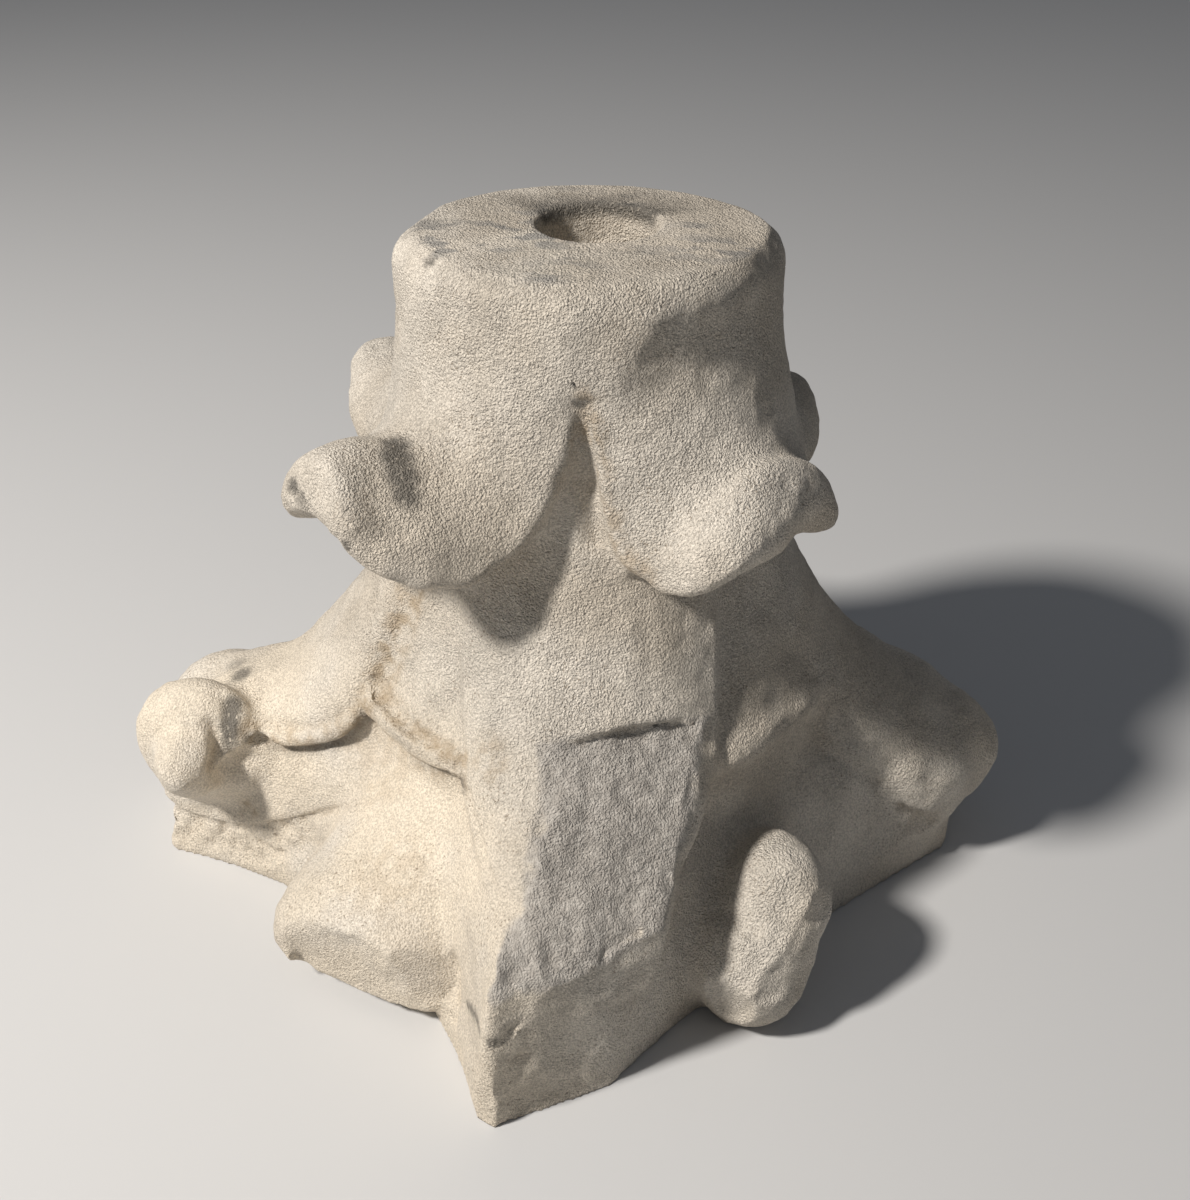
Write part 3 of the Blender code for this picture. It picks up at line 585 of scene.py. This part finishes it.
DIRT = ((223.3, 0.1030, 0.2422, 0.0060, 1.0), (226.8, 0.1075, 0.2404, 0.0072, 1.0),
        (230.8, 0.1118, 0.2380, 0.0072, 1.0), (233.8, 0.1165, 0.2340, 0.0062, 1.0),
        (181.8, 0.1640, 0.0920, 0.0055, 0.9), (178.0, 0.1700, 0.0940, 0.0065, 0.6),
        (215.8, 0.1395, 0.2299, 0.0036, 1.0), (218.5, 0.1399, 0.2270, 0.0028, 1.0),
        (229.3, 0.1379, 0.2319, 0.0018, 1.0), (230.1, 0.1409, 0.2195, 0.0022, 1.0),
        (258.5, 0.1876, 0.0472, 0.0026, 1.0), (214.5, 0.0752, 0.3026, 0.0025, 1.0))
FIN_DIRT = line((190.9, 0.1650, 0.0935), (192.0, 0.1665, 0.0880), (193.4, 0.1680, 0.0820),
                (194.6, 0.1700, 0.0760))
ARRIS_DIRT = line((252.3, 0.1620, 0.0360), (254.6, 0.1720, 0.0430), (256.3, 0.1801, 0.0466),
                  (258.5, 0.1876, 0.0472))
FLAKE_DIRT = line((216.2, 0.1400, 0.2290), (218.5, 0.1405, 0.2250), (224.0, 0.1420, 0.2200))
SOCKET_RIM = line(*[(bearing, 0.0250, 0.3035) for bearing in range(30, 160, 10)])
# The LEFT_HEM and LIP_LOWER streaks are painted shade in the hem groove and under the lip.
DIRT_AND_SHADE_TRAILS = ((FIN_DIRT, 0.0044, 1.0), (ARRIS_DIRT, 0.0020, 0.9), (FLAKE_DIRT, 0.0020, 0.9),
               (SOCKET_RIM, 0.0036, 1.0), (LEFT_HEM, 0.0040, 0.6), (LIP_LOWER, 0.0040, 0.7))


def trails(lines):
    """Return how strongly soft streaks along lines mark each point."""
    total = np.zeros(len(skin.points))
    for path, width, strength in lines:
        near, gap, _ = near_line(path, TRAIL_EDGE[1] * width)
        total[near] = np.maximum(total[near], strength * (1 - fade(gap / width, *TRAIL_EDGE)))
    return total


def patches(spots):
    """Return how strongly soft round patches mark each point."""
    total = np.zeros(len(skin.points))
    for bearing, reach, height, width, strength in spots:
        gap = np.linalg.norm(skin.points - at(bearing, reach, height), axis=1)
        total = np.maximum(total, strength * (1 - fade(gap / width, *PATCH_EDGE)))
    return total


BED_TURN = (0.75, 0.97)
BED_DEPTH = (-0.006, -0.002)
CREASE_DEPTH = (0.00005, 0.00035)
CREASE_OCHRE = 0.6
WORN_HEIGHTS = (0.085, 0.150)
WORN_SIDE = (-0.050, 0.010)
HOLLOW_ROUNDS = 2
bed = fade(skin.facing[:, 2], *BED_TURN) * fade(skin.points[:, 2] - HEIGHT, *BED_DEPTH)
hollow = np.einsum("ij,ij->i", skin.spread(skin.points) - skin.points, skin.facing)
for _ in range(HOLLOW_ROUNDS):
    hollow = skin.spread(hollow[:, None])[:, 0]
creases = fade(hollow, *CREASE_DEPTH)
ochre_marks = np.maximum(patches(OCHRE), trails(OCHRE_TRAILS))
ochre_marks = np.maximum(ochre_marks, creases * CREASE_OCHRE)
dirt_and_shade_marks = np.maximum(patches(DIRT), trails(DIRT_AND_SHADE_TRAILS))
marks = np.stack([ochre_marks, dirt_and_shade_marks, break_face(), bed], 1)
stains_and_shade = capital.data.attributes.new("stains_and_shade", "FLOAT_COLOR", "POINT")
stains_and_shade.data.foreach_set("color", marks.astype(np.float32).ravel())
lower = 1 - fade(skin.points[:, 2], *WORN_HEIGHTS)
left = 1 - fade(skin.points[:, 0], *WORN_SIDE)
worn = capital.data.attributes.new("worn", "FLOAT", "POINT")
worn.data.foreach_set("value", (lower * left).astype(np.float32))

# The marble
# Warm cream-white marble, worn matt. Its tone drifts over a few centimetres, fine brown specks lie
# in its pores, and its coarse crystals catch the light.
CREAM = (0.715, 0.638, 0.532, 1)
PALE = (0.805, 0.740, 0.645, 1)
YELLOWED = (0.815, 0.722, 0.588, 1)
SPECK = (0.230, 0.180, 0.130, 1)
OCHRE_BROWN = (0.360, 0.265, 0.160, 1)
# Soot darkens the dirt and pits, and is also painted shade in the hem groove and the lip crease.
SOOT_AND_SHADE = (0.085, 0.080, 0.072, 1)
# The break's greys are partly its own stone and partly painted shade.
SHADED_BREAK_GREY = (0.400, 0.372, 0.338, 1)
SHADED_BREAK_PALE = (0.520, 0.488, 0.445, 1)
PATINA_GREY = (0.290, 0.280, 0.265, 1)
SHEEN = 0.25

marble = bpy.data.materials.new("marble")
marble.use_nodes = True
nodes = marble.node_tree.nodes
links = marble.node_tree.links
shader = nodes["Principled BSDF"]
shader.inputs["Specular IOR Level"].default_value = SHEEN
where = nodes.new("ShaderNodeTexCoord")


def cloud(scale, detail, stretch=(1, 1, 1)):
    """Return a noise over the stone. Its scale is in lumps a metre, and it may be stretched."""
    lay = nodes.new("ShaderNodeMapping")
    lay.inputs["Scale"].default_value = stretch
    texture = nodes.new("ShaderNodeTexNoise")
    texture.inputs["Scale"].default_value = scale
    texture.inputs["Detail"].default_value = detail
    links.new(where.outputs["Object"], lay.inputs["Vector"])
    links.new(lay.outputs["Vector"], texture.inputs["Vector"])
    return texture.outputs["Fac"]


def between(value, start, end, low=0.0, high=1.0):
    """Return a value brought from its own range to another one."""
    ramp = nodes.new("ShaderNodeMapRange")
    ramp.interpolation_type = "SMOOTHSTEP"
    ramp.inputs["From Min"].default_value = start
    ramp.inputs["From Max"].default_value = end
    ramp.inputs["To Min"].default_value = low
    ramp.inputs["To Max"].default_value = high
    links.new(value, ramp.inputs["Value"])
    return ramp.outputs["Result"]


def blend(kind, share, under, over):
    """Return two colours mixed, where each is a colour or another node's output."""
    mix = nodes.new("ShaderNodeMix")
    mix.data_type = "RGBA"
    mix.blend_type = kind
    for socket, value in (("Factor", share), ("A", under), ("B", over)):
        inlet = [entry for entry in mix.inputs if entry.name == socket and entry.enabled][0]
        if isinstance(value, bpy.types.NodeSocket):
            links.new(value, inlet)
        else:
            inlet.default_value = value
    return [entry for entry in mix.outputs if entry.enabled][0]


def figure(kind, one, two):
    """Return the result of one sum on two values, where a product is kept from 0 to 1."""
    node = nodes.new("ShaderNodeMath")
    node.operation = kind
    node.use_clamp = kind == "MULTIPLY"
    for socket, value in zip(node.inputs, (one, two)):
        if isinstance(value, bpy.types.NodeSocket):
            links.new(value, socket)
        else:
            socket.default_value = value
    return node.outputs["Value"]


mark = nodes.new("ShaderNodeAttribute")
mark.attribute_name = "stains_and_shade"
channels = nodes.new("ShaderNodeSeparateColor")
links.new(mark.outputs["Color"], channels.inputs["Color"])
ochre, dirt_and_shade, shaded_break = [channels.outputs[name] for name in ("Red", "Green", "Blue")]
bed_share = mark.outputs["Alpha"]

smooth_mark = nodes.new("ShaderNodeAttribute")
smooth_mark.attribute_name = "worn"
smoothed = smooth_mark.outputs["Fac"]

paler = between(cloud(14, 3), 0.38, 0.62)
tone = blend("MIX", paler, CREAM, PALE)
yellowing = figure("MULTIPLY", smoothed, between(cloud(22, 3), 0.30, 0.60))
tone = blend("MIX", yellowing, tone, YELLOWED)

drift = between(cloud(10, 3), 0.36, 0.64, low=0.91, high=1.06)
grains = between(cloud(1100, 3), 0.34, 0.66, low=0.68, high=1.00)
grain_level = figure("MULTIPLY", grains, drift)
grain_shade = nodes.new("ShaderNodeCombineColor")
for name in ("Red", "Green", "Blue"):
    links.new(grain_level, grain_shade.inputs[name])
tone = blend("MULTIPLY", 1.0, tone, grain_shade.outputs["Color"])

SPECK_STRENGTH = 0.70
specks = figure("MULTIPLY", between(cloud(900, 2), 0.60, 0.68), between(cloud(30, 4), 0.40, 0.60))
tone = blend("MIX", figure("MULTIPLY", specks, SPECK_STRENGTH), tone, SPECK)

# The break is tinted grey, partly its own stone and partly painted shade.
SHADED_BREAK_STRENGTH = 0.9
shaded_break_tone = blend("MIX", between(cloud(330, 4), 0.42, 0.66), SHADED_BREAK_GREY, SHADED_BREAK_PALE)
tone = blend("MIX", figure("MULTIPLY", shaded_break, SHADED_BREAK_STRENGTH), tone, shaded_break_tone)

OCHRE_STRENGTH = 0.75
ochre_share = figure("MULTIPLY", ochre, between(cloud(150, 5), 0.35, 0.62))
tone = blend("MIX", figure("MULTIPLY", ochre_share, OCHRE_STRENGTH), tone, OCHRE_BROWN)

PATINA_STRENGTH = 0.75
streaks = between(cloud(80, 6, stretch=(0.8, 1.3, 1.0)), 0.48, 0.58)
patina = figure("MULTIPLY", streaks, between(cloud(20, 2), 0.42, 0.62))
patina_share = figure("MULTIPLY", bed_share, patina)
tone = blend("MIX", figure("MULTIPLY", patina_share, PATINA_STRENGTH), tone, PATINA_GREY)

# Soot darkens dirt patches and pits, and paints shade along the hem groove and under the lip.
SOOT_AND_SHADE_STRENGTH = 0.80
dirt_and_shade_share = figure("MULTIPLY", dirt_and_shade, between(cloud(480, 4), 0.26, 0.44))
tone = blend("MIX", figure("MULTIPLY", dirt_and_shade_share, SOOT_AND_SHADE_STRENGTH), tone, SOOT_AND_SHADE)
links.new(tone, shader.inputs["Base Color"])
matt = between(cloud(300, 3), 0.3, 0.7, low=0.74, high=0.95)
links.new(matt, shader.inputs["Roughness"])

CRYSTAL_DEPTH = 0.0028
FINE_SHARE = 0.60
bump = nodes.new("ShaderNodeBump")
bump.inputs["Distance"].default_value = CRYSTAL_DEPTH
rubbed = between(smoothed, 0, 1, low=0.95, high=0.60)
links.new(rubbed, bump.inputs["Strength"])
crystals = figure("ADD", cloud(1250, 2), figure("MULTIPLY", cloud(520, 3), FINE_SHARE))
etched = between(cloud(48, 3), 0.35, 0.65, low=0.65, high=1.0)
links.new(figure("MULTIPLY", crystals, etched), bump.inputs["Height"])
links.new(bump.outputs["Normal"], shader.inputs["Normal"])
capital.data.materials.clear()
capital.data.materials.append(marble)

# The room
# A plain pale floor, one soft key light from the front left, as the sun stood, and a pale room.
FLOOR_SIZE = 14
FLOOR_DROP = 0.0002
FLOOR_GREY = (0.60, 0.60, 0.60, 1)
FLOOR_ROUGHNESS = 0.9
KEY_DISTANCE = 2.2
KEY_AIM = Vector((0, 0, 0.12))
KEY_BEARING = 212
KEY_RISE = 44
KEY_SIZE = 0.26
KEY_POWER = 62
KEY_COLOUR = (1.0, 0.955, 0.90)
ROOM_COLOUR = (0.86, 0.91, 1.0, 1)
ROOM_STRENGTH = 0.13
floor_mesh = bpy.data.meshes.new("floor")
half = FLOOR_SIZE / 2
corners = [(-half, -half, 0), (half, -half, 0), (half, half, 0), (-half, half, 0)]
floor_mesh.from_pydata(corners, [], [(0, 1, 2, 3)])
floor = bpy.data.objects.new("floor", floor_mesh)
floor.location.z = -FLOOR_DROP
bpy.context.scene.collection.objects.link(floor)
floor_paint = bpy.data.materials.new("floor_paint")
floor_paint.use_nodes = True
floor_shader = floor_paint.node_tree.nodes["Principled BSDF"]
floor_shader.inputs["Base Color"].default_value = FLOOR_GREY
floor_shader.inputs["Roughness"].default_value = FLOOR_ROUGHNESS
floor.data.materials.append(floor_paint)

key_data = bpy.data.lights.new("key", "AREA")
key_data.shape = "DISK"
key_data.size = KEY_SIZE
key_data.energy = KEY_POWER
key_data.color = KEY_COLOUR
key = bpy.data.objects.new("key", key_data)
key.location = KEY_AIM + Vector(heading(KEY_BEARING, KEY_RISE)) * KEY_DISTANCE
key.rotation_euler = (KEY_AIM - key.location).to_track_quat("-Z", "Y").to_euler()
bpy.context.scene.collection.objects.link(key)

room = bpy.data.worlds.new("room")
room.use_nodes = True
backdrop = room.node_tree.nodes["Background"]
backdrop.inputs["Color"].default_value = ROOM_COLOUR
backdrop.inputs["Strength"].default_value = ROOM_STRENGTH
bpy.context.scene.world = room
bpy.context.scene.view_settings.view_transform = "Standard"

# The camera
# It stands in front of the capital and looks down at it, as the photograph was taken.
FOCAL_PIXELS = 1498.6
PHOTO_HEIGHT = 1200
SENSOR_WIDTH = 36
CAMERA_PLACE = (0, -0.579, 0.486)
LOOK_DOWN = 31.53
ROLL = 0.49
camera_data = bpy.data.cameras.new("camera")
camera_data.sensor_width = SENSOR_WIDTH
camera_data.lens = SENSOR_WIDTH * FOCAL_PIXELS / PHOTO_HEIGHT
camera = bpy.data.objects.new("camera", camera_data)
camera.location = CAMERA_PLACE
tilt = Euler((math.radians(90 - LOOK_DOWN), 0, 0)).to_matrix()
camera.rotation_euler = (tilt @ Matrix.Rotation(math.radians(ROLL), 3, "Z")).to_euler()
bpy.context.scene.collection.objects.link(camera)
bpy.context.scene.camera = camera
